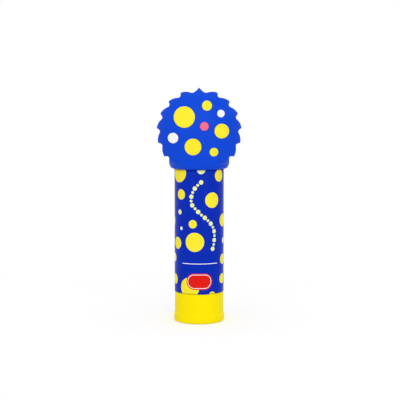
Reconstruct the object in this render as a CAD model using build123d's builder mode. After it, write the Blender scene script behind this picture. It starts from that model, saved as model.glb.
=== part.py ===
"""Glue stick with a twist knob, a screw-driven glue carrier and a pull-off cap under a soft topper.

Millimetres, +Z up. The origin is on the stick's axis, at the flat foot of the knob, and the front faces -Y.
"""
from build123d import *
import math
import os

os.makedirs("parts", exist_ok=True)

# Barrel and its printed sleeve
barrel_radius = 10.15
label_thickness = 0.15
label_length = 50.5
label_seam = 0.2
tube_wall = 1.85
neck_height = 12.1
neck_wall = 0.9
neck_edge = 0.3
rib_count = 4
rib_height = 0.45
rib_width = 1.4

# Twist knob at the foot
knob_set_in = 0.1
knob_height = 12.25
knob_rim_stand = 0.35
knob_rim_height = 3.4
knob_foot_round = 0.8
knob_top_round = 0.2
knob_floor = 1.9
foot_recess_depth = 0.5
foot_ring_width = 2.4
spigot_height = 5.0
spigot_wall = 1.1
bead_height = 1.0
bead_stand = 0.3
bead_from_top = 1.4

# Screw spindle and its seat in the knob
core_radius = 2.6
thread_depth = 0.7
thread_root_width = 2.4
thread_crest_width = 1.6
lead = 5.0
hex_foot_size = 4.6
hex_sides = 6
hub_wall = 1.5
hub_height = 6.8
collar_stand = 1.0
collar_height = 1.2
spindle_setback = 5.5
spindle_tip_edge = 0.6

# Glue carrier and the glue
carrier_height = 7.0
carrier_floor = 1.6
carrier_wall = 0.95
nut_wall = 1.0
lug_turn_share = 0.14
glue_recess = 1.4
glue_edge = 0.7

# Cap shell
cap_headroom = 6.0
cap_wall = 1.0
cap_top_thickness = 1.2
cap_edge = 0.5

# Soft topper over the cap
collar_wall = 1.65
topper_overhang = 5.6
topper_rise = 15.25
tuft_height = 1.7
crown_extra = 0.45
tufts_per_side = 6
tufted_turn_share = 0.361
tip_share = 0.8
belly_share = 0.3
hollow_share = 0.15
rim_share = 0.97
depth_swell = 1.4
crown_margin = 1.5
mouth_lip = 0.9
mouth_round = 1.9
mouth_bulge_share = 0.15
pillow_sections = 9

# Raised soft inlays of the topper
inlay_stand = 0.4
inlay_seat = 0.8

# Clearances
running_gap = 0.15
carrier_rest_gap = 0.45
snap_gap = 0.15
spigot_gap = 0.1
carrier_gap = 0.12
glue_gap = 0.25
rib_gap = 0.15
thread_gap = 0.15
cap_gap = 0.05
bond_gap = 0.05
label_gap = 0.02
overrun = 1.0

# Radii that follow from the sizes above
tube_radius = barrel_radius - label_thickness
knob_radius = barrel_radius - knob_set_in
knob_rim_radius = knob_radius + knob_rim_stand
bore_radius = tube_radius - tube_wall
neck_radius = bore_radius + neck_wall
rib_radius = bore_radius - rib_height
spigot_radius = bore_radius - spigot_gap
bead_radius = spigot_radius + bead_stand
thread_radius = core_radius + thread_depth
carrier_radius = bore_radius - carrier_gap
glue_radius = bore_radius - glue_gap
nut_radius = thread_radius + nut_wall
cap_bore_radius = neck_radius + cap_gap
cap_radius = cap_bore_radius + cap_wall
socket_radius = cap_radius + bond_gap
collar_radius = socket_radius + collar_wall
hub_radius = hex_foot_size / 2 / math.cos(math.pi / hex_sides) + hub_wall

# Heights that follow from the sizes above
barrel_foot = knob_height + running_gap
shoulder_height = barrel_foot + label_length
neck_top = shoulder_height + neck_height
spigot_top = knob_height + spigot_height
hub_top = knob_floor + hub_height
carrier_foot = spigot_top + carrier_rest_gap
carrier_top = carrier_foot + carrier_height
thread_top = neck_top - spindle_setback - lead / 2
spindle_top = neck_top - spindle_setback
glue_top = neck_top - glue_recess
cap_foot = shoulder_height + cap_gap
cap_ceiling = neck_top + cap_headroom
cap_top = cap_ceiling + cap_top_thickness
topper_foot = cap_foot + bond_gap
topper_centre = topper_foot + topper_rise


def keep(piece, name):
    """Label a finished piece and write it."""
    piece.part.label = name
    export_step(piece.part, f"parts/{name}.step")


def helical_bar(from_height, length, inner, outer, inner_width, outer_width):
    """A bar wound round the axis from the +X side, with inner and outer measured from the spindle's core."""
    with BuildPart() as bar:
        with BuildLine() as path:
            Helix(lead, length, core_radius, center=(0, 0, from_height))
        with BuildSketch(Plane(origin=path.line @ 0, x_dir=(1, 0, 0), z_dir=path.line % 0)):
            Polygon(
                (inner, -inner_width / 2), (outer, -outer_width / 2), (outer, outer_width / 2),
                (inner, inner_width / 2), align=None,
            )
        sweep(path=path.line, is_frenet=True)
    return bar.part


def rib_bars(from_height, to_height, inner_radius, outer_radius, width):
    """Straight bars along the bore, evenly spaced, for the ribs and for the slots that clear them."""
    with BuildPart() as bars:
        with BuildSketch(Plane.XY.offset(from_height)):
            with PolarLocations((inner_radius + outer_radius) / 2, rib_count):
                Rectangle(outer_radius - inner_radius, width)
        extrude(amount=to_height - from_height)
    return bars.part


# Base knob: a cup with a spigot that snaps into the barrel and a hub for the spindle's foot
with BuildPart() as base_knob:
    with BuildSketch(Plane.XZ):
        with BuildLine():
            Polyline(
                (0, 0), (knob_rim_radius, 0), (knob_rim_radius, knob_rim_height - knob_rim_stand),
                (knob_radius, knob_rim_height),
                (knob_radius, knob_height), (spigot_radius, knob_height), (spigot_radius, spigot_top),
                (spigot_radius - spigot_wall, spigot_top), (spigot_radius - spigot_wall, knob_floor),
                (hub_radius, knob_floor), (hub_radius, hub_top), (0, hub_top), close=True,
            )
        make_face()
    revolve(axis=Axis.Z)
    bead_top = spigot_top - bead_from_top
    bead_low = bead_top - bead_height
    with BuildSketch(Plane.XZ):
        with BuildLine():
            Polyline(
                (spigot_radius - spigot_wall / 2, bead_low), (spigot_radius, bead_low),
                (bead_radius, bead_low + bead_stand), (bead_radius, bead_top - bead_stand),
                (spigot_radius, bead_top), (spigot_radius - spigot_wall / 2, bead_top), close=True,
            )
        make_face()
    revolve(axis=Axis.Z)
    rings = base_knob.edges().filter_by(GeomType.CIRCLE)
    fillet(rings.group_by(Axis.Z)[0], knob_foot_round)
    rings = base_knob.edges().filter_by(GeomType.CIRCLE)
    top_rings = rings.filter_by_position(Axis.Z, knob_height - knob_top_round, knob_height + knob_top_round)
    fillet(top_rings.sort_by(SortBy.RADIUS)[-1:], knob_top_round)
    with BuildSketch(Plane.XY):
        Circle(knob_rim_radius - foot_ring_width)
    extrude(amount=foot_recess_depth, mode=Mode.SUBTRACT)
    with BuildSketch(Plane.XY.offset(knob_floor)):
        RegularPolygon(hex_foot_size / 2, hex_sides, major_radius=False)
    extrude(amount=hub_height + overrun, mode=Mode.SUBTRACT)
keep(base_knob, "base_knob")

# Screw spindle: hexagonal foot, collar on the hub, core and thread
thread_flare = (thread_root_width - thread_crest_width) / 2
spindle_thread = helical_bar(
    spigot_top, thread_top - spigot_top, -thread_depth / 2, thread_depth,
    thread_root_width + thread_flare, thread_crest_width,
)
with BuildPart() as screw_spindle:
    with BuildSketch(Plane.XY.offset(knob_floor)):
        RegularPolygon(hex_foot_size / 2 - bond_gap, hex_sides, major_radius=False)
    extrude(amount=hub_height)
    with BuildSketch(Plane.XY.offset(hub_top)):
        Circle(core_radius + collar_stand)
    extrude(amount=collar_height)
    with BuildSketch(Plane.XY.offset(hub_top)):
        Circle(core_radius)
    extrude(amount=spindle_top - hub_top)
    chamfer(screw_spindle.edges().sort_by(Axis.Z)[-1:], spindle_tip_edge)
    add(spindle_thread)
keep(screw_spindle, "screw_spindle")

# Barrel tube: stepped tube with a neck for the cap, a snap groove at its foot and ribs in its bore
barrel_ribs = rib_bars(
    spigot_top + running_gap, neck_top - neck_edge, rib_radius, bore_radius + rib_height, rib_width,
)
with BuildPart() as barrel_tube:
    with BuildSketch(Plane.XZ):
        with BuildLine():
            Polyline(
                (bore_radius, barrel_foot), (tube_radius, barrel_foot), (tube_radius, shoulder_height),
                (neck_radius, shoulder_height), (neck_radius, neck_top), (bore_radius, neck_top), close=True,
            )
        make_face()
    revolve(axis=Axis.Z)
    add(barrel_ribs)
    groove_radius = bead_radius + snap_gap
    with BuildSketch(Plane.XZ):
        with BuildLine():
            low = bead_low - snap_gap
            high = bead_top + snap_gap
            Polyline(
                (bore_radius - snap_gap, low), (bore_radius, low), (groove_radius, low + bead_stand),
                (groove_radius, high - bead_stand), (bore_radius, high), (bore_radius - snap_gap, high),
                close=True,
            )
        make_face()
    revolve(axis=Axis.Z, mode=Mode.SUBTRACT)
    top_rings = barrel_tube.edges().filter_by(GeomType.CIRCLE).group_by(Axis.Z)[-1]
    fillet(top_rings.sort_by(SortBy.RADIUS)[-1:], neck_edge)
keep(barrel_tube, "barrel_tube")

# Label sleeve: a thin film round the tube with a narrow seam at the back
with BuildPart() as label_sleeve:
    with BuildSketch(Plane.XY.offset(barrel_foot)):
        Circle(barrel_radius)
        Circle(tube_radius + label_gap, mode=Mode.SUBTRACT)
        with Locations((0, barrel_radius)):
            Rectangle(label_seam, barrel_radius, mode=Mode.SUBTRACT)
    extrude(amount=label_length)
keep(label_sleeve, "label_sleeve")

# Glue carrier: a cup slotted for the ribs, whose hub has two lugs that run in the spindle's thread
rib_slots = rib_bars(
    carrier_foot - overrun, glue_top + overrun, rib_radius - rib_gap, bore_radius + overrun,
    rib_width + rib_gap * 2,
)
normal_pitch = lead * math.cos(math.atan2(lead, math.tau * core_radius))
lug_tip_width = normal_pitch - thread_root_width - thread_gap * 2
lug_root_width = normal_pitch - thread_crest_width - thread_gap * 2
lug_embed = (nut_wall - thread_gap) / 2
lug_rise = lead * lug_turn_share
with BuildPart() as glue_carrier:
    with BuildSketch(Plane.XY.offset(carrier_foot)):
        Circle(carrier_radius)
    extrude(amount=carrier_floor)
    with BuildSketch(Plane.XY.offset(carrier_foot)):
        Circle(carrier_radius)
        Circle(carrier_radius - carrier_wall, mode=Mode.SUBTRACT)
        Circle(nut_radius)
    extrude(amount=carrier_height)
    with BuildSketch(Plane.XY.offset(carrier_foot - overrun)):
        Circle(thread_radius + thread_gap)
    extrude(amount=carrier_height + overrun * 2, mode=Mode.SUBTRACT)
    add(rib_slots, mode=Mode.SUBTRACT)
    for lug in range(2):
        middle = (carrier_foot + carrier_top) / 2 + lead * (lug - 0.5) / 2
        angle = 360 * (middle - lug_rise / 2 - spigot_top - lead / 2) / lead
        bar = helical_bar(
            middle - lug_rise / 2, lug_rise, thread_gap, thread_depth + thread_gap + lug_embed,
            lug_tip_width, lug_root_width,
        )
        add(bar.rotate(Axis.Z, angle))
keep(glue_carrier, "glue_carrier")

# Glue stick: cast in the cup and round the spindle, with a solid nose
with BuildPart() as glue_stick:
    with BuildSketch(Plane.XY.offset(carrier_foot + carrier_floor)):
        Circle(carrier_radius - carrier_wall)
    extrude(amount=carrier_height - carrier_floor)
    with BuildSketch(Plane.XY.offset(carrier_top)):
        Circle(glue_radius)
    extrude(amount=glue_top - carrier_top)
    chamfer(glue_stick.edges().sort_by(Axis.Z)[-1:], glue_edge)
    with BuildSketch(Plane.XY.offset(carrier_foot)):
        Circle(nut_radius)
    extrude(amount=carrier_height, mode=Mode.SUBTRACT)
    with BuildSketch(Plane.XY.offset(carrier_foot)):
        Circle(thread_radius + thread_gap)
    extrude(amount=spindle_top + overrun - carrier_foot, mode=Mode.SUBTRACT)
    add(rib_slots, mode=Mode.SUBTRACT)
keep(glue_stick, "glue_stick")

# Cap shell: a plain round cap over the neck
with BuildPart() as cap_shell:
    with BuildSketch(Plane.XY.offset(cap_foot)):
        Circle(cap_radius)
    extrude(amount=cap_top - cap_foot)
    fillet(cap_shell.edges().sort_by(Axis.Z)[-1:], cap_edge)
    with BuildSketch(Plane.XY.offset(cap_foot)):
        Circle(cap_bore_radius)
    extrude(amount=cap_ceiling - cap_foot, mode=Mode.SUBTRACT)
keep(cap_shell, "cap_shell")

# Topper: a pillow of stacked ellipses, cut to a tufted outline
tip_radius = collar_radius + topper_overhang
valley_radius = tip_radius - tuft_height
crown_radius = tip_radius + crown_extra
pillow_width = tip_radius / rim_share
pillow_depth = collar_radius + depth_swell
foot_width = (collar_radius + mouth_lip) / rim_share
upper_reach = crown_radius + crown_margin
lower_width_reach = topper_rise / math.sqrt(1 - (foot_width / pillow_width) ** 2)
lower_depth_reach = topper_rise / math.sqrt(1 - (collar_radius / pillow_depth) ** 2)


def pillow_half_sizes(height):
    """Half width and half depth of the pillow at a height above its centre."""
    width_reach = upper_reach if height > 0 else lower_width_reach
    depth_reach = upper_reach if height > 0 else lower_depth_reach
    half_width = pillow_width * math.sqrt(1 - (height / width_reach) ** 2)
    half_depth = pillow_depth * math.sqrt(1 - (height / depth_reach) ** 2)
    return half_width, half_depth


def pillow(swell):
    """The pillow, grown all round by swell, running past the topper's foot and crown."""
    low = -topper_rise - overrun
    high = crown_radius + overrun
    with BuildPart() as form:
        for section in range(pillow_sections):
            height = low + (high - low) * section / (pillow_sections - 1)
            half_width, half_depth = pillow_half_sizes(height)
            with BuildSketch(Plane.XY.offset(topper_centre + height)):
                Ellipse(half_width + swell, half_depth + swell)
        loft()
    return form.part


def outline_point(angle, radius):
    """A point of the outline, by its angle from the top of the topper."""
    turn = math.radians(angle)
    return radius * math.sin(turn), topper_centre + radius * math.cos(turn)


def side_outline():
    """One side of the tufted outline, from the crown's tip down to the foot, as arcs."""
    tufted_angle = 360 * tufted_turn_share
    step = tufted_angle / (tufts_per_side + 0.5)
    first = step / 2
    belly = tuft_height * belly_share
    hollow = tuft_height * hollow_share
    SagittaArc(outline_point(0, crown_radius), outline_point(first, valley_radius), -hollow)
    for tuft in range(tufts_per_side):
        root = first + step * tuft
        tip = outline_point(root + step * tip_share, tip_radius)
        SagittaArc(outline_point(root, valley_radius), tip, belly)
        SagittaArc(tip, outline_point(root + step, valley_radius), -hollow)
    edge = (collar_radius + mouth_lip / 2, topper_foot + mouth_round)
    corner = (socket_radius + mouth_lip, topper_foot)
    Line(outline_point(tufted_angle, valley_radius), edge)
    SagittaArc(edge, corner, mouth_round * mouth_bulge_share)
    Line(corner, (0, topper_foot))


def face_plane(side):
    """The plane through the axis that faces the front, for side 1, or the back, for side -1."""
    return Plane(origin=(0, 0, topper_centre), x_dir=(side, 0, 0), z_dir=(0, -side, 0))


with BuildPart() as outline_block:
    with BuildSketch(Plane.XZ):
        with BuildLine():
            side_outline()
            mirror(about=Plane.YZ)
        make_face()
    extrude(amount=pillow_depth + overrun, both=True)

with BuildPart() as mouth_block:
    with BuildSketch(Plane.XZ):
        with BuildLine():
            edge = (collar_radius + mouth_lip / 2, topper_foot + mouth_round)
            corner = (socket_radius + mouth_lip, topper_foot)
            reach = pillow_width + overrun
            SagittaArc(corner, edge, -mouth_round * mouth_bulge_share)
            Polyline(edge, (reach, edge[1] + reach - edge[0]), (reach, topper_centre + reach),
                     (0, topper_centre + reach), (0, topper_foot), corner)
        make_face()
    revolve(axis=Axis.Z)

# Inlays: side, then place from the topper's centre and radius as shares of its outline's radius, then colour
inlay_shares = [
    (1, -0.34, 0.34, 0.245, "yellow"),
    (1, 0.18, 0.60, 0.116, "yellow"),
    (1, 0.50, 0.42, 0.087, "white"),
    (1, 0.52, 0.02, 0.169, "yellow"),
    (1, 0.12, 0.13, 0.100, "pink"),
    (1, -0.60, -0.14, 0.122, "white"),
    (1, -0.14, -0.34, 0.192, "yellow"),
    (1, 0.34, -0.46, 0.100, "yellow"),
    (-1, 0.30, 0.30, 0.220, "yellow"),
    (-1, -0.30, 0.46, 0.128, "yellow"),
    (-1, -0.46, -0.02, 0.174, "yellow"),
    (-1, 0.06, -0.20, 0.100, "pink"),
    (-1, 0.46, -0.28, 0.128, "white"),
]
seat_form = pillow(-inlay_seat)
raised_form = pillow(inlay_stand)

with BuildPart() as inlay_pockets:
    for side, across, up, size, colour in inlay_shares:
        with BuildSketch(face_plane(side)):
            with Locations((across * tip_radius, up * tip_radius)):
                Circle(size * tip_radius + bond_gap)
        extrude(amount=pillow_depth + overrun)
    add(seat_form, mode=Mode.SUBTRACT)

with BuildPart() as topper_body:
    add(pillow(0))
    add(outline_block.part, mode=Mode.INTERSECT)
    add(mouth_block.part, mode=Mode.INTERSECT)
    with BuildSketch(Plane.XY.offset(topper_foot)):
        Circle(socket_radius)
    extrude(amount=cap_top + bond_gap - topper_foot, mode=Mode.SUBTRACT)
    add(inlay_pockets.part, mode=Mode.SUBTRACT)
keep(topper_body, "topper_body")

for number, (side, across, up, size, colour) in enumerate(inlay_shares, 1):
    with BuildPart() as inlay:
        with BuildSketch(face_plane(side)):
            with Locations((across * tip_radius, up * tip_radius)):
                Circle(size * tip_radius)
        extrude(amount=pillow_depth + overrun)
        add(raised_form, mode=Mode.INTERSECT)
        add(seat_form, mode=Mode.SUBTRACT)
    keep(inlay, f"{colour}_inlay_{number:02d}")
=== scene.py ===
"""Looks of the glue stick: printed label, soft topper with inlays, plastics, glue, studio and camera."""
import math

import bmesh
import bpy
import numpy as np
from mathutils import Matrix, Vector, geometry


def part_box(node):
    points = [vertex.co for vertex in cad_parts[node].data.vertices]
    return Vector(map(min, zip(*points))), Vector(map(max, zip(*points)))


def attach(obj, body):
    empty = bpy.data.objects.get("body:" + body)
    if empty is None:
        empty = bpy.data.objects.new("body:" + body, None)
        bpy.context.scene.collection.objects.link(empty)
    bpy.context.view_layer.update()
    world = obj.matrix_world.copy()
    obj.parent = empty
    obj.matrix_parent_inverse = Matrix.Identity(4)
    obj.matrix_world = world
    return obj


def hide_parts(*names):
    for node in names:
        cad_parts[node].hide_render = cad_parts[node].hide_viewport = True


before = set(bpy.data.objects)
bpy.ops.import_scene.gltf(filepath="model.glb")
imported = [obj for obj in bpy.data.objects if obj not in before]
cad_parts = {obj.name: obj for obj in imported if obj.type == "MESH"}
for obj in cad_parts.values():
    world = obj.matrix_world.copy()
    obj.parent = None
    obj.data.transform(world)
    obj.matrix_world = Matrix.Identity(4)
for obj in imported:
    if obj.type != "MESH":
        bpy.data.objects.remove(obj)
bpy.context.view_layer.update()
MM = 0.001


def heights(node):
    """The lowest and the highest place of a node at rest, in millimetres."""
    return [round(corner[2] / MM, 3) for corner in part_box(node)]


# Heights read from the frame
LABEL_LOW, LABEL_HIGH = heights("label_sleeve")
FOOT = heights("topper_body")[0]
CAP_TOP = heights("cap_shell")[1]

# Sizes repeated from the part's source, in millimetres, and shares
BARREL_RADIUS = 10.15
LABEL_INNER_RADIUS = 10.02
SOCKET_RADIUS = 10.15
BOND_GAP = 0.05
COLLAR_WALL = 1.65
TOPPER_OVERHANG = 5.6
TOPPER_RISE = 15.25
TUFT_HEIGHT = 1.7
CROWN_EXTRA = 0.45
TUFTS_PER_SIDE = 6
TUFTED_TURN_SHARE = 0.361
TIP_SHARE = 0.8
BELLY_SHARE = 0.3
HOLLOW_SHARE = 0.15
RIM_SHARE = 0.97
DEPTH_SWELL = 1.4
CROWN_MARGIN = 1.5
MOUTH_LIP = 0.9
MOUTH_ROUND = 1.9
INLAY_STAND = 0.4

# Sizes that follow from these. A reach is the height above or below the centre where the pillow would close.
CENTRE = FOOT + TOPPER_RISE
COLLAR_RADIUS = SOCKET_RADIUS + COLLAR_WALL
TIP_RADIUS = COLLAR_RADIUS + TOPPER_OVERHANG
VALLEY_RADIUS = TIP_RADIUS - TUFT_HEIGHT
CROWN_RADIUS = TIP_RADIUS + CROWN_EXTRA
MOUTH_RADIUS = SOCKET_RADIUS + MOUTH_LIP
MOUTH_EDGE_RADIUS = COLLAR_RADIUS + MOUTH_LIP / 2
PILLOW_WIDTH = TIP_RADIUS / RIM_SHARE
PILLOW_DEPTH = COLLAR_RADIUS + DEPTH_SWELL
FOOT_WIDTH_SHARE = (COLLAR_RADIUS + MOUTH_LIP) / RIM_SHARE / PILLOW_WIDTH
UPPER_REACH = CROWN_RADIUS + CROWN_MARGIN
LOWER_WIDTH_REACH = TOPPER_RISE / math.sqrt(1 - FOOT_WIDTH_SHARE ** 2)
LOWER_DEPTH_REACH = TOPPER_RISE / math.sqrt(1 - (COLLAR_RADIUS / PILLOW_DEPTH) ** 2)
# Inlays: front 1 or back -1, place and radius as shares of the tips' radius, colour
INLAYS = [
    (1, -0.34, 0.34, 0.245, "yellow"),
    (1, 0.18, 0.60, 0.116, "yellow"),
    (1, 0.50, 0.42, 0.087, "white"),
    (1, 0.52, 0.02, 0.169, "yellow"),
    (1, 0.12, 0.13, 0.100, "pink"),
    (1, -0.60, -0.14, 0.122, "white"),
    (1, -0.14, -0.34, 0.192, "yellow"),
    (1, 0.34, -0.46, 0.100, "yellow"),
    (-1, 0.30, 0.30, 0.220, "yellow"),
    (-1, -0.30, 0.46, 0.128, "yellow"),
    (-1, -0.46, -0.02, 0.174, "yellow"),
    (-1, 0.06, -0.20, 0.100, "pink"),
    (-1, 0.46, -0.28, 0.128, "white"),
]

# Camera: the photograph's place in metres, its tilt up from straight down in degrees, and its lens
CAMERA_PLACE = (0.00035, -0.430, 0.090)
CAMERA_TILT = 84.68
LENS, SENSOR_WIDTH = 94.35, 36
CLIP_START = 0.01
camera_data = bpy.data.cameras.new("camera")
camera_data.lens = LENS
camera_data.sensor_width = SENSOR_WIDTH
camera_data.clip_start = CLIP_START
camera = bpy.data.objects.new("camera", camera_data)
camera.location = CAMERA_PLACE
camera.rotation_euler = (math.radians(CAMERA_TILT), 0, 0)
bpy.context.collection.objects.link(camera)
bpy.context.scene.camera = camera
bpy.context.scene.view_settings.view_transform = "Standard"


# Shader nodes
def connect(tree, node, inputs):
    """Set each of the node's named inputs to a value, or link it to another node's output."""
    for name, source in inputs.items():
        if isinstance(source, bpy.types.NodeSocket):
            tree.links.new(source, node.inputs[name])
        else:
            node.inputs[name].default_value = source


def add(tree, kind, inputs=None, **settings):
    """A new node with its settings and inputs."""
    node = tree.nodes.new(kind)
    for setting, value in settings.items():
        setattr(node, setting, value)
    connect(tree, node, inputs or {})
    return node


def mixed(tree, factor, first, second):
    """The second shader where the factor is one, and the first where it is zero."""
    inputs = {0: factor, 1: first.outputs[0], 2: second.outputs[0]}
    return add(tree, "ShaderNodeMixShader", inputs)


def grey(level):
    return level, level, level, 1


def new_material(name):
    material = bpy.data.materials.new(name)
    material.use_nodes = True
    return material, material.node_tree, material.node_tree.nodes["Principled BSDF"]


# Materials. The change of tone runs between these two levels of its noise.
MATERIALS = {}
TONE_LEVELS = (0.3, 0.7)
BUMP_STRENGTH = 0.35


def plastic(name, colour, other, roughness, grain, bump, spread=0.05, tone_size=9, constants=None):
    """Plastic with slow changes of tone from colour to other, uneven gloss and a fine moulded grain.

    grain and tone_size are the sizes of the fine and the slow pattern, and bump is the grain's depth, in
    millimetres. constants are values for the shader's own inputs.
    """
    MATERIALS[name], tree, shader = new_material(name)
    place = add(tree, "ShaderNodeTexCoord").outputs["Object"]

    def noise(size, detail=2):
        inputs = {"Vector": place, "Scale": 1 / (size * MM), "Detail": detail}
        return add(tree, "ShaderNodeTexNoise", inputs).outputs["Fac"]

    tone = add(tree, "ShaderNodeValToRGB", {"Fac": noise(tone_size)})
    for element, level, shade in zip(tone.color_ramp.elements, TONE_LEVELS, (colour, other)):
        element.position = level
        element.color = (*shade, 1)
    gloss = add(tree, "ShaderNodeMapRange", {"Value": noise(tone_size / 4, detail=3),
                                             "To Min": roughness - spread, "To Max": roughness + spread})
    relief = add(tree, "ShaderNodeBump", {"Height": noise(grain),
                                          "Strength": BUMP_STRENGTH, "Distance": bump * MM})
    connect(tree, shader, {"Base Color": tone.outputs["Color"], "Roughness": gloss.outputs["Result"],
                           "Normal": relief.outputs["Normal"], **(constants or {})})


def specular(level):
    """How strongly the surface reflects, where 0.5 is common plastic."""
    return {"Specular IOR Level": level}


def subsurface(weight, scale):
    """Light that goes some way into the material, scale millimetres deep."""
    return {"Subsurface Weight": weight, "Subsurface Scale": scale * MM}


def film(name, colour, other):
    """Printed film: ink under a clear face that ripples very slightly."""
    plastic(name, colour, other, roughness=0.26, spread=0.03, grain=2.6, bump=0.006, tone_size=14,
            constants=specular(0.06))


def soft(name, colour, other, roughness=0.42):
    """Soft moulded plastic with a satin face."""
    plastic(name, colour, other, roughness, grain=0.35, bump=0.012, constants=specular(0.08))


BLUE, YELLOW, PALE, WHITE, RED = "label_blue", "label_yellow", "label_pale", "label_white", "label_red"
INKS = [BLUE, YELLOW, PALE, WHITE, RED]
film(BLUE, (0, 0.021, 0.42), (0.001, 0.025, 0.45))
film(YELLOW, (0.93, 0.78, 0.030), (0.93, 0.80, 0.040))
film(PALE, (0.82, 0.89, 0.33), (0.80, 0.88, 0.38))
film(WHITE, (0.90, 0.92, 0.94), (0.88, 0.91, 0.95))
film(RED, (0.73, 0.010, 0.006), (0.76, 0.013, 0.008))
soft("topper_soft", (0.001, 0.056, 0.62), (0.002, 0.064, 0.66), roughness=0.46)
soft("yellow_soft", (0.93, 0.76, 0.020), (0.94, 0.79, 0.030))
soft("white_soft", (0.88, 0.88, 0.87), (0.91, 0.91, 0.90))
soft("pink_soft", (0.85, 0.13, 0.20), (0.88, 0.16, 0.24))
plastic("knob_plastic", (0.95, 0.77, 0), (0.96, 0.79, 0.001),
        roughness=0.40, grain=0.5, bump=0.010, constants=specular(0.05))
plastic("barrel_plastic", (0.86, 0.87, 0.88), (0.89, 0.90, 0.90),
        roughness=0.36, grain=0.7, bump=0.010)
plastic("inner_plastic", (0.82, 0.83, 0.82), (0.86, 0.86, 0.84),
        roughness=0.50, grain=0.5, bump=0.015, constants=subsurface(0.1, 0.6))
plastic("cap_plastic", (0.010, 0.055, 0.55), (0.012, 0.065, 0.60),
        roughness=0.38, grain=0.6, bump=0.012, constants=specular(0.2))
plastic("glue", (0.86, 0.86, 0.82), (0.91, 0.90, 0.87),
        roughness=0.44, spread=0.08, grain=1.4, bump=0.06, tone_size=4, constants=subsurface(0.35, 1.2))


# Pieces
def finish_piece(piece, body, nodes):
    """Let the piece ride on its body and stand in for its nodes, which are hidden."""
    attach(piece, body)
    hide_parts(*nodes)


def build(name, points, faces, material_names, body, nodes, indices=None):
    """A smooth-shaded piece from points in millimetres, riding on a body in place of CAD nodes."""
    mesh = bpy.data.meshes.new(name)
    mesh.from_pydata([tuple(c * MM for c in point) for point in points], [], faces)
    for material_name in material_names:
        mesh.materials.append(MATERIALS[material_name])
    if indices is not None:
        mesh.polygons.foreach_set("material_index", indices)
    mesh.polygons.foreach_set("use_smooth", [True] * len(mesh.polygons))
    piece = bpy.data.objects.new(name, mesh)
    bpy.context.collection.objects.link(piece)
    finish_piece(piece, body, nodes)
    return piece


# Label. A place on it is the way round the barrel from the front centre, and the height, in millimetres.
# The seam at the back is drawn nearly closed, at under a third of the solid's gap.
SEAM = 0.06
SIDE = math.pi * BARREL_RADIUS - SEAM / 2
# Dots: place, radius, ink
DOTS = [
    (-9.5, 61.7, 3.96, YELLOW), (9.4, 60.5, 2.49, YELLOW), (0.8, 62.9, 1.63, PALE),
    (-8.2, 52.9, 2.12, YELLOW), (5.6, 50.7, 3.14, YELLOW), (-8.9, 45.7, 1.02, PALE),
    (-8.0, 39.1, 0.69, WHITE), (-2.65, 41.05, 1.72, YELLOW), (-1.85, 33.7, 3.90, YELLOW),
    (-10.6, 32.9, 2.48, YELLOW), (12.5, 42.1, 2.70, YELLOW), (13.2, 33.7, 1.25, PALE),
    (-15.7, 41.6, 2.45, YELLOW), (12.3, 26.1, 2.15, YELLOW), (-13.7, 26.6, 1.84, PALE),
    (-12.8, 17.8, 2.16, YELLOW), (11.8, 18.1, 2.10, YELLOW), (-4.1, 15.0, 4.15, YELLOW),
    (5.6, 11.9, 1.50, YELLOW), (21.0, 58.5, 2.90, YELLOW), (18.6, 51.5, 1.20, PALE),
    (25.5, 50.5, 2.20, YELLOW), (22.3, 36.8, 2.40, YELLOW), (28.2, 42.5, 2.90, YELLOW),
    (20.0, 27.5, 1.50, PALE), (26.5, 28.0, 3.10, YELLOW), (19.5, 17.5, 2.30, YELLOW),
    (25.5, 19.5, 1.20, PALE), (28.3, 14.6, 2.00, YELLOW), (-19.5, 56.5, 1.90, YELLOW),
    (-26.5, 59.0, 2.80, YELLOW), (-23.5, 49.0, 3.20, YELLOW), (-29.3, 44.5, 1.20, PALE),
    (-18.9, 33.0, 1.30, PALE), (-25.5, 37.0, 2.40, YELLOW), (-21.5, 25.3, 3.20, YELLOW),
    (-28.5, 27.5, 1.60, YELLOW), (-19.8, 15.2, 1.50, PALE), (-26.3, 17.0, 2.70, YELLOW),
]
# A wavy trail of large and small dots, by places that it passes through
TRAIL = [(0.8, 58.0), (-1.4, 56.0), (-2.9, 53.3), (-3.3, 50.9), (-2.9, 48.8), (-1.0, 46.7), (0.7, 45.0),
         (2.6, 43.4), (4.8, 41.3), (6.3, 38.8), (6.7, 36.2), (6.4, 33.1), (5.8, 30.9)]
TRAIL_DOTS = 19
TRAIL_RADII = (0.90, 0.58)
RULE_LOW, RULE_HIGH = (-7.4, 24.72), (8.2, 25.00)
# A red patch with round ends and a thin white line inside its edge
PATCH_CENTRE = (0.10, 17.6)
PATCH_WIDTH, PATCH_HEIGHT = 10.9, 6.7
PATCH_REACH = (PATCH_WIDTH - PATCH_HEIGHT) / 2
LINE_OUTER, LINE_INNER = 0.45, 0.70
# The film's mesh: points on outlines, a grid between them, and the gap that the grid leaves to an outline.
# A dot has so many points for each millimetre of its radius.
LONGEST_EDGE = 0.6
POINTS_PER_MM, FEWEST_POINTS = 16, 20
PILL_POINTS = 48
TRAIL_STEPS = 20
COLUMNS, ROWS = 96, 60
GRID_GAP = 0.2
MERGE = 1e-5


def circle(centre, radius):
    """Points round a dot."""
    count = max(FEWEST_POINTS, int(radius * POINTS_PER_MM))
    turns = [math.tau * i / count for i in range(count)]
    return [(centre[0] + radius * math.cos(t), centre[1] + radius * math.sin(t)) for t in turns]


def rectangle(low, high):
    return [low, (high[0], low[1]), high, (low[0], high[1])]


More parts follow.
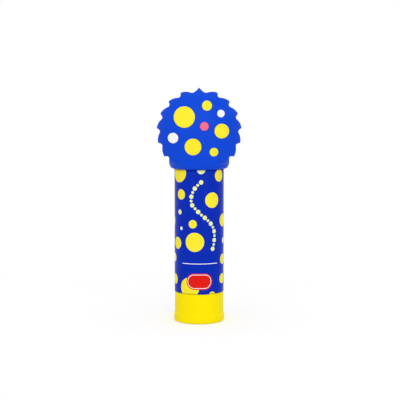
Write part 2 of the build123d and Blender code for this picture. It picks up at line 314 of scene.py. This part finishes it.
def pill(inset):
    """Outline of the patch, drawn in by inset."""
    radius = PATCH_HEIGHT / 2 - inset
    points = []
    for i in range(PILL_POINTS):
        turn = math.tau * i / PILL_POINTS - math.pi / 2
        reach = PATCH_REACH if i < PILL_POINTS / 2 else -PATCH_REACH
        points.append((PATCH_CENTRE[0] + reach + radius * math.cos(turn),
                       PATCH_CENTRE[1] + radius * math.sin(turn)))
    return points


def in_pill(u, z, inset):
    """Whether a place lies in the patch, drawn in by inset."""
    across = max(abs(u - PATCH_CENTRE[0]) - PATCH_REACH, 0)
    return math.hypot(across, z - PATCH_CENTRE[1]) < PATCH_HEIGHT / 2 - inset


def dense(loop):
    """The loop with points added on its long edges, so that it lies close to the barrel when wrapped."""
    points = []
    for start, end in zip(loop, loop[1:] + loop[:1]):
        count = max(1, math.ceil(math.dist(start, end) / LONGEST_EDGE))
        points += [tuple(p) for p in np.linspace(start, end, count, endpoint=False)]
    return points


def trail_dots():
    """Dots at even distances on a smooth curve through the trail's places."""
    knots = [Vector(p) for p in TRAIL]
    knots = [2 * knots[0] - knots[1]] + knots + [2 * knots[-1] - knots[-2]]
    fine = []
    for a, b, c, d in zip(knots, knots[1:], knots[2:], knots[3:]):
        for i in range(TRAIL_STEPS):
            t = i / TRAIL_STEPS
            fine.append(0.5 * (2 * b + (c - a) * t + (2 * a - 5 * b + 4 * c - d) * t ** 2
                               + (3 * b - a - 3 * c + d) * t ** 3))
    fine = np.array([tuple(p) for p in fine] + [tuple(knots[-2])])
    along = np.concatenate([[0], np.cumsum(np.linalg.norm(np.diff(fine, axis=0), axis=1))])
    dots = []
    for i, distance in enumerate(np.linspace(0, along[-1], TRAIL_DOTS)):
        u, z = (float(np.interp(distance, along, fine[:, k])) for k in (0, 1))
        dots.append((u, z, TRAIL_RADII[i % 2], PALE))
    return dots


def ink_at(u, z, dots):
    """The ink of a place on the film. Later dots lie over earlier ones, and the patch over all."""
    ink = BLUE
    for dot_u, dot_z, radius, dot_ink in dots:
        if math.hypot(u - dot_u, z - dot_z) < radius:
            ink = dot_ink
    if RULE_LOW[0] < u < RULE_HIGH[0] and RULE_LOW[1] < z < RULE_HIGH[1]:
        ink = WHITE
    if in_pill(u, z, 0):
        ink = WHITE if in_pill(u, z, LINE_OUTER) and not in_pill(u, z, LINE_INNER) else RED
    return ink


def closed_skin(faces):
    """Make the faces of a sheet a closed skin with a printed face, an inner face and cut edges.

    It gives the faces, the place of the first cut edge among them, and the numbers of the sheet's points
    that are in use. The skin has those points twice, first for the printed face, then for the inner one.
    """
    used = sorted({i for face in faces for i in face})
    place = {old: new for new, old in enumerate(used)}
    faces = [tuple(place[i] for i in face) for face in faces]
    rim = set()
    for a, b, c in faces:
        for start, end in ((a, b), (b, c), (c, a)):
            if (end, start) in rim:
                rim.remove((end, start))
            else:
                rim.add((start, end))
    count = len(used)
    faces += [tuple(count + i for i in reversed(face)) for face in faces]
    cut = len(faces)
    faces += [(b, a, count + a, count + b) for a, b in sorted(rim)]
    return faces, cut, used


def wrapped(place, radius):
    """The point at a place of the label, wrapped round the barrel."""
    turn = place[0] / BARREL_RADIUS
    return radius * math.sin(turn), -radius * math.cos(turn), place[1]


def label():
    """The printed sleeve, its ink areas cut into the mesh."""
    dots = DOTS + trail_dots()
    loops = [circle((u, z), radius) for u, z, radius, _ in dots]
    loops += [pill(inset) for inset in (0, LINE_OUTER, LINE_INNER)]
    loops += [rectangle(RULE_LOW, RULE_HIGH), rectangle((-SIDE, LABEL_LOW), (SIDE, LABEL_HIGH))]
    points, edges = [], []
    for loop in map(dense, loops):
        start = len(points)
        points += loop
        edges += [(start + i, start + (i + 1) % len(loop)) for i in range(len(loop))]
    outlines = np.array(points)
    for u in np.linspace(-SIDE, SIDE, COLUMNS + 1):
        for z in np.linspace(LABEL_LOW, LABEL_HIGH, ROWS + 1):
            if np.min(np.linalg.norm(outlines - (u, z), axis=1)) > GRID_GAP:
                points.append((u, z))
    flat, _, triangles, *_ = geometry.delaunay_2d_cdt([Vector(p) for p in points], edges, [], 0, MERGE)
    faces, indices = [], []
    for triangle in triangles:
        u, z = np.mean([flat[i] for i in triangle], axis=0)
        if -SIDE < u < SIDE and LABEL_LOW < z < LABEL_HIGH:
            faces.append(tuple(triangle))
            indices.append(INKS.index(ink_at(u, z, dots)))
    faces, cut, used = closed_skin(faces)
    indices += [INKS.index(BLUE)] * (len(faces) - len(indices))
    points = [wrapped(flat[i], radius) for radius in (BARREL_RADIUS, LABEL_INNER_RADIUS) for i in used]
    piece = build("label", points, faces, INKS, "barrel", ["label_sleeve"], indices)
    for face in piece.data.polygons[cut:]:
        face.use_smooth = False


# Topper: the part's own pillow and tufted outline, with every edge rounded
RING_POINTS = 160
PILLOW_STEPS = 80
TUFT_POINTS, HOLLOW_POINTS = 10, 4
# How far forms run past what they cut, and how far the outline stands off the rounding at the foot and
# goes below the foot
OVERRUN = 1
EDGE_STAND, EDGE_DROP = 0.15, 2
# How far out and up the rounding at the foot bends, and how far out and up its cutter ends
MOUTH_BEND = (0.85, 0.75)
MOUTH_FLARE = (34, 36)
VOXEL = 0.3
EASE_FACTOR, EASE_STEPS = 0.5, 14


def half_sizes(height):
    """The pillow's half width and half depth at a height above the topper's centre."""
    width_reach = UPPER_REACH if height > 0 else LOWER_WIDTH_REACH
    depth_reach = UPPER_REACH if height > 0 else LOWER_DEPTH_REACH
    return (PILLOW_WIDTH * math.sqrt(1 - (height / width_reach) ** 2),
            PILLOW_DEPTH * math.sqrt(1 - (height / depth_reach) ** 2))


def surface_depth(x, height):
    """How far the pillow's face stands from the middle plane."""
    half_width, half_depth = half_sizes(height)
    return half_depth * math.sqrt(max(1 - (x / half_width) ** 2, 0))


def bulged(start, end, bulge, count):
    """Points from start to just before end on a curve that stands out from the centre by bulge."""
    start, end = Vector(start), Vector(end)
    out = Vector((end.y - start.y, start.x - end.x)).normalized()
    if out.dot(start + end) < 0:
        out.negate()
    return [start.lerp(end, i / count) + out * 4 * bulge * i / count * (1 - i / count) for i in range(count)]


def side_outline():
    """Half of the outline, from the crown to below the foot, as offsets from the topper's centre."""
    def at(turn, radius):
        return radius * math.sin(turn), radius * math.cos(turn)

    tufted_turn = math.tau * TUFTED_TURN_SHARE
    step = tufted_turn / (TUFTS_PER_SIDE + 0.5)
    belly, hollow = TUFT_HEIGHT * BELLY_SHARE, TUFT_HEIGHT * HOLLOW_SHARE
    points = bulged(at(0, CROWN_RADIUS), at(step / 2, VALLEY_RADIUS), -hollow, TUFT_POINTS)
    for tuft in range(TUFTS_PER_SIDE):
        root = step / 2 + step * tuft
        tip = at(root + step * TIP_SHARE, TIP_RADIUS)
        points += bulged(at(root, VALLEY_RADIUS), tip, belly, TUFT_POINTS)
        points += bulged(tip, at(root + step, VALLEY_RADIUS), -hollow, HOLLOW_POINTS)
    edge = Vector((MOUTH_EDGE_RADIUS + EDGE_STAND, MOUTH_ROUND - TOPPER_RISE))
    points += bulged(at(tufted_turn, VALLEY_RADIUS), edge, 0, HOLLOW_POINTS)
    return points + [edge, Vector((edge.x, -TOPPER_RISE - EDGE_DROP))]


def ring_faces(count, rows):
    """Faces of a closed form whose points lie in rows of count points each."""
    faces = [tuple(range(count))]
    for row in range(rows - 1):
        for i in range(count):
            a, b = row * count + i, row * count + (i + 1) % count
            faces.append((a, a + count, b + count, b))
    faces.append(tuple(range(count * rows - 1, count * (rows - 1) - 1, -1)))
    return faces


def ring(height, half_width, half_depth=None):
    """Points of a level oval or round ring about the axis."""
    turns = [math.tau * i / RING_POINTS for i in range(RING_POINTS)]
    return [(half_width * math.cos(t), (half_depth or half_width) * math.sin(t), height) for t in turns]


def form(name, rows):
    """An object of a closed form in millimetres."""
    mesh = bpy.data.meshes.new(name)
    mesh.from_pydata([point for row in rows for point in row], [], ring_faces(len(rows[0]), len(rows)))
    fix = bmesh.new()
    fix.from_mesh(mesh)
    bmesh.ops.recalc_face_normals(fix, faces=fix.faces)
    fix.to_mesh(mesh)
    fix.free()
    made = bpy.data.objects.new(name, mesh)
    bpy.context.collection.objects.link(made)
    return made


def topper():
    """The tufted pillow with its rounded foot and the socket for the cap, cut, evened and smoothed."""
    offsets = np.linspace(-TOPPER_RISE - OVERRUN, CROWN_RADIUS + OVERRUN, PILLOW_STEPS + 1)
    body = form("topper", [ring(CENTRE + height, *half_sizes(height)) for height in offsets])
    side = side_outline()
    loop = side + [Vector((-p.x, p.y)) for p in reversed(side[1:])]
    reach = PILLOW_DEPTH + OVERRUN
    outline = form("outline", [[(p.x, y, CENTRE + p.y) for p in loop] for y in (-reach, reach)])
    mouth = form("mouth", [ring(FOOT, MOUTH_RADIUS),
                           ring(FOOT + MOUTH_BEND[1], MOUTH_RADIUS + MOUTH_BEND[0]),
                           ring(FOOT + MOUTH_ROUND, MOUTH_EDGE_RADIUS),
                           ring(FOOT + MOUTH_FLARE[1], MOUTH_EDGE_RADIUS + MOUTH_FLARE[0])])
    socket = form("socket", [ring(FOOT - OVERRUN, SOCKET_RADIUS), ring(CAP_TOP + BOND_GAP, SOCKET_RADIUS)])
    for tool, operation in ((outline, "INTERSECT"), (mouth, "INTERSECT"), (socket, "DIFFERENCE")):
        cut = body.modifiers.new(tool.name, "BOOLEAN")
        cut.object = tool
        cut.operation = operation
        cut.solver = "EXACT"
    even = body.modifiers.new("even", "REMESH")
    even.mode = "VOXEL"
    even.voxel_size = VOXEL
    even.use_smooth_shade = True
    ease = body.modifiers.new("ease", "SMOOTH")
    ease.factor = EASE_FACTOR
    ease.iterations = EASE_STEPS
    bpy.context.view_layer.update()
    done = bpy.data.meshes.new_from_object(body.evaluated_get(bpy.context.evaluated_depsgraph_get()))
    done.transform(Matrix.Scale(MM, 4))
    body.modifiers.clear()
    body.data = done
    for tool in (outline, mouth, socket):
        bpy.data.objects.remove(tool)
    done.materials.clear()
    done.materials.append(MATERIALS["topper_soft"])
    finish_piece(body, "cap", ["topper_body"])


# Inlays: rings on the face as shares of the radius, clear of the rim by FACE_GAP, the rim's rounding, and
# how far the rim goes down into the topper
INLAY_POINTS = 56
FACE_SHARES = (0.15, 0.30, 0.45, 0.60, 0.75)
FACE_GAP = 0.1
ROLL, ROLL_STEPS = 0.34, 8
SINK = 0.5


def inlay(number, side, across, up, size, colour):
    """A round inlay that follows the pillow, stands a little proud of it and rolls over at its rim."""
    radius = size * TIP_RADIUS
    flat_radius = radius - ROLL
    distances = [radius * share for share in FACE_SHARES]
    profile = [(distance, INLAY_STAND) for distance in distances if distance < flat_radius - FACE_GAP]
    for i in range(ROLL_STEPS + 1):
        turn = math.pi / 2 * (1 - i / ROLL_STEPS)
        profile.append((flat_radius + ROLL * math.cos(turn), INLAY_STAND - ROLL + ROLL * math.sin(turn)))
    profile.append((radius, -SINK))
    points = []
    for distance, stand in profile:
        for i in range(INLAY_POINTS):
            turn = math.tau * i / INLAY_POINTS
            x = across * TIP_RADIUS + distance * math.cos(turn)
            height = up * TIP_RADIUS + distance * math.sin(turn)
            points.append((side * x, -side * (surface_depth(x, height) + stand), CENTRE + height))
    faces = ring_faces(INLAY_POINTS, len(profile))
    name = f"{colour}_inlay_{number:02d}"
    build(f"soft_{name}", points, faces, [f"{colour}_soft"], "cap", [name])


label()
topper()
for number, row in enumerate(INLAYS, 1):
    inlay(number, *row)

# CAD pieces that keep their shape, and their materials
CAD_MATERIALS = {
    "base_knob": "knob_plastic",
    "barrel_tube": "barrel_plastic",
    "screw_spindle": "inner_plastic",
    "glue_carrier": "inner_plastic",
    "glue_stick": "glue",
    "cap_shell": "cap_plastic",
}
for node, material_name in CAD_MATERIALS.items():
    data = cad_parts[node].data
    data.materials.clear()
    data.materials.append(MATERIALS[material_name])


# Studio: white floor and surroundings, soft lamps. Places and sizes are in metres. The floor fades to
# white between two distances from the stick.
AMBIENT = 0.80
FLOOR_SIZE = 3
PAPER_GREY, PAPER_ROUGHNESS, PAPER_SPECULAR = 0.8, 0.9, 0.1
SHADOW_GREY, SHADOW_GLOW = 0.60, 0.435
FADE_START, FADE_END = 0.03, 0.16
STICK_MIDDLE = Vector((0, 0, 0.05))
# Lamps: name, place, width and height, power in watts
LAMPS = [
    ("key", (0.05, -0.72, 0.40), (0.20, 0.60), 1.2),
    ("strip_right", (0.25, -0.42, 0.13), (0.03, 0.30), 0.20),
    ("strip_left", (-0.25, -0.42, 0.13), (0.03, 0.30), 0.16),
    ("top", (0.0, 0.05, 0.70), (0.5, 0.5), 0.4),
]


def looked_at(tree, lit, seen):
    """The shader seen where a ray from the camera, a gloss or a clear body looks, and lit elsewhere."""
    path = add(tree, "ShaderNodeLightPath")
    total = path.outputs["Is Camera Ray"]
    for name in ("Is Glossy Ray", "Is Transmission Ray"):
        inputs = {0: total, 1: path.outputs[name]}
        total = add(tree, "ShaderNodeMath", inputs, operation="ADD", use_clamp=True).outputs[0]
    return mixed(tree, total, lit, seen)


def surroundings():
    """White surroundings that light the object at a lower level."""
    world = bpy.data.worlds.new("world")
    bpy.context.scene.world = world
    world.use_nodes = True
    tree = world.node_tree
    ambient = tree.nodes["Background"]
    connect(tree, ambient, {"Color": grey(1), "Strength": AMBIENT})
    white = add(tree, "ShaderNodeBackground", {"Color": grey(1), "Strength": 1})
    shown = looked_at(tree, ambient, white)
    connect(tree, tree.nodes["World Output"], {"Surface": shown.outputs[0]})


def floor():
    """White paper with the object's shadow, which fades to the white of the surroundings."""
    bpy.ops.mesh.primitive_plane_add(size=FLOOR_SIZE)
    sheet = bpy.context.object
    sheet.name = "floor"
    paper, tree, matt = new_material("floor_paper")
    inputs = {"Base Color": grey(PAPER_GREY), "Roughness": PAPER_ROUGHNESS, **specular(PAPER_SPECULAR)}
    connect(tree, matt, inputs)
    faint = add(tree, "ShaderNodeBsdfDiffuse", {"Color": grey(SHADOW_GREY)})
    glow = add(tree, "ShaderNodeEmission", {"Strength": SHADOW_GLOW})
    near = add(tree, "ShaderNodeAddShader", {0: faint.outputs[0], 1: glow.outputs[0]})
    far = add(tree, "ShaderNodeEmission")
    place = add(tree, "ShaderNodeTexCoord").outputs["Object"]
    distance = add(tree, "ShaderNodeVectorMath", {0: place}, operation="LENGTH").outputs["Value"]
    inputs = {"Value": distance, "From Min": FADE_START, "From Max": FADE_END}
    fade = add(tree, "ShaderNodeMapRange", inputs, interpolation_type="SMOOTHSTEP").outputs["Result"]
    top = looked_at(tree, matt, mixed(tree, fade, near, far))
    # Seen from below, the floor is clear
    under = add(tree, "ShaderNodeNewGeometry").outputs["Backfacing"]
    both = mixed(tree, under, top, add(tree, "ShaderNodeBsdfTransparent"))
    connect(tree, tree.nodes["Material Output"], {"Surface": both.outputs[0]})
    sheet.data.materials.append(paper)


def lamp(name, place, size, power):
    """A rectangular lamp that looks at the middle of the stick."""
    data = bpy.data.lights.new(name, "AREA")
    data.shape = "RECTANGLE"
    data.size, data.size_y = size
    data.energy = power
    made = bpy.data.objects.new(name, data)
    made.location = place
    made.rotation_euler = (STICK_MIDDLE - Vector(place)).to_track_quat("-Z", "Y").to_euler()
    bpy.context.collection.objects.link(made)


surroundings()
floor()
for row in LAMPS:
    lamp(*row)
